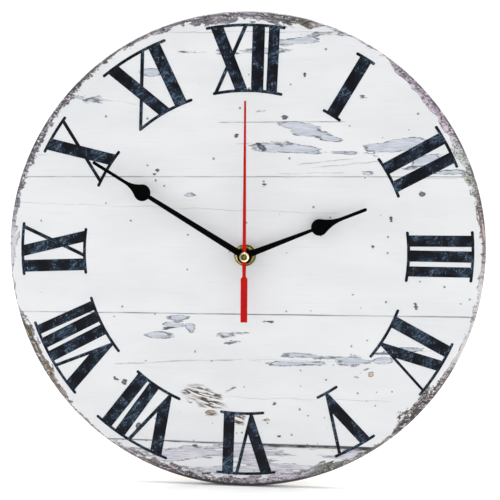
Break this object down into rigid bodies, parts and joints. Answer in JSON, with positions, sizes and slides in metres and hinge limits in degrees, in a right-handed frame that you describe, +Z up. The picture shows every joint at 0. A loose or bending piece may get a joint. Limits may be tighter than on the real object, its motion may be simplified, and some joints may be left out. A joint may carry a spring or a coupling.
{
  "type": "wall clock",
  "caption": "Round frameless wall clock: printed plank-look board with Roman numerals, pear-shaped hands, and a battery quartz movement on the back.",
  "frame": {"origin": "on the hand axis, in the plane of the wall, which is the flat rear face of the movement's cover", "axes": "+Y out of the back into the wall, -Y towards the viewer, +Z up towards XII, +X to the right seen from the front"},
  "size_m": [0.3, 0.0362, 0.3],
  "materials": {
    "fibreboard": "matte brown fibreboard",
    "dial_print": "satin printed film, weathered white planks",
    "numeral_ink": "satin blue-black ink, worn",
    "rubber_gasket": "matte",
    "brass": "polished",
    "black_plastic": "satin, fine grain",
    "black_plastic_knob": "semi-gloss",
    "white_plastic": "moulded acetal",
    "steel": "satin",
    "nickel": "bright nickel plate",
    "battery_can": "bright plated can",
    "copper_wire": "enamelled copper",
    "circuit_board": "green solder mask",
    "magnet": "dark grey",
    "battery_sleeve": "plain shrink sleeve, no mark",
    "black_hand": "satin black paint",
    "red_hand": "semi-gloss red paint"
  },
  "bodies": {
    "clock_body": {"dial_board": "fibreboard", "dial_print": "dial_print", "printed_numerals": "numeral_ink", "rubber_gasket": "rubber_gasket", "threaded_bushing": "brass", "brass_washer": "brass", "hex_nut": "brass", "case_front": "black_plastic", "rear_cover": "black_plastic", "middle_plate": "white_plastic", "stator": "steel", "coil_core": "steel", "coil_bobbin": "white_plastic", "coil_winding": "copper_wire", "circuit_board": "circuit_board", "chip_blob": "black_plastic_knob", "quartz_crystal": "nickel", "positive_contact": "nickel", "negative_contact": "nickel"},
    "battery": {"battery_cell": "battery_can", "battery_sleeve": "battery_sleeve"},
    "rotor": {"rotor_pinion": "white_plastic", "rotor_magnet": "magnet"},
    "intermediate": {"intermediate_wheel": "white_plastic"},
    "seconds": {"seconds_arbor": "steel", "seconds_wheel": "white_plastic", "second_hand": "red_hand", "second_hand_bush": "brass"},
    "third": {"third_wheel": "white_plastic"},
    "centre": {"centre_wheel": "white_plastic"},
    "minutes": {"minute_arbor": "brass", "minute_hand": "black_hand"},
    "transfer": {"transfer_wheel": "white_plastic"},
    "hours": {"hour_wheel": "white_plastic", "hour_hand": "black_hand"},
    "setting": {"setting_knob": "black_plastic_knob"}
  },
  "joints": [
    {"name": "second_hand_turn", "type": "hinge", "parent": "clock_body", "child": "seconds", "pos_m": [0, 0, 0], "axis": [0, 1, 0], "continuous": true},
    {"name": "intermediate_turn", "type": "hinge", "parent": "clock_body", "child": "intermediate", "pos_m": [0.00812, 0, -0.00469], "axis": [0, 1, 0], "continuous": true},
    {"name": "rotor_turn", "type": "hinge", "parent": "clock_body", "child": "rotor", "pos_m": [0.01237, 0, 0.00267], "axis": [0, 1, 0], "continuous": true},
    {"name": "third_wheel_turn", "type": "hinge", "parent": "clock_body", "child": "third", "pos_m": [-0.00459, 0, 0.00795], "axis": [0, 1, 0], "continuous": true},
    {"name": "centre_wheel_turn", "type": "hinge", "parent": "clock_body", "child": "centre", "pos_m": [0, 0, 0], "axis": [0, 1, 0], "continuous": true},
    {"name": "minute_hand_turn", "type": "hinge", "parent": "clock_body", "child": "minutes", "pos_m": [0, 0, 0], "axis": [0, 1, 0], "continuous": true},
    {"name": "transfer_wheel_turn", "type": "hinge", "parent": "clock_body", "child": "transfer", "pos_m": [-0.00779, 0, 0.0045], "axis": [0, 1, 0], "continuous": true},
    {"name": "hour_hand_turn", "type": "hinge", "parent": "clock_body", "child": "hours", "pos_m": [0, 0, 0], "axis": [0, 1, 0], "continuous": true},
    {"name": "setting_knob_turn", "type": "hinge", "parent": "clock_body", "child": "setting", "pos_m": [-0.01559, 0, 0.009], "axis": [0, 1, 0], "continuous": true},
    {"name": "battery_slide", "type": "slide", "parent": "clock_body", "child": "battery", "axis": [0, 1, 0], "range_m": [0, 0.03]}
  ],
  "couplings": [
    {"joint": "intermediate_turn", "follows": "second_hand_turn", "ratio": -4},
    {"joint": "rotor_turn", "follows": "second_hand_turn", "ratio": 30},
    {"joint": "third_wheel_turn", "follows": "second_hand_turn", "ratio": -0.13333},
    {"joint": "centre_wheel_turn", "follows": "second_hand_turn", "ratio": 0.016667},
    {"joint": "transfer_wheel_turn", "follows": "minute_hand_turn", "ratio": -0.33333},
    {"joint": "hour_hand_turn", "follows": "minute_hand_turn", "ratio": 0.083333},
    {"joint": "setting_knob_turn", "follows": "minute_hand_turn", "ratio": 1}
  ]
}
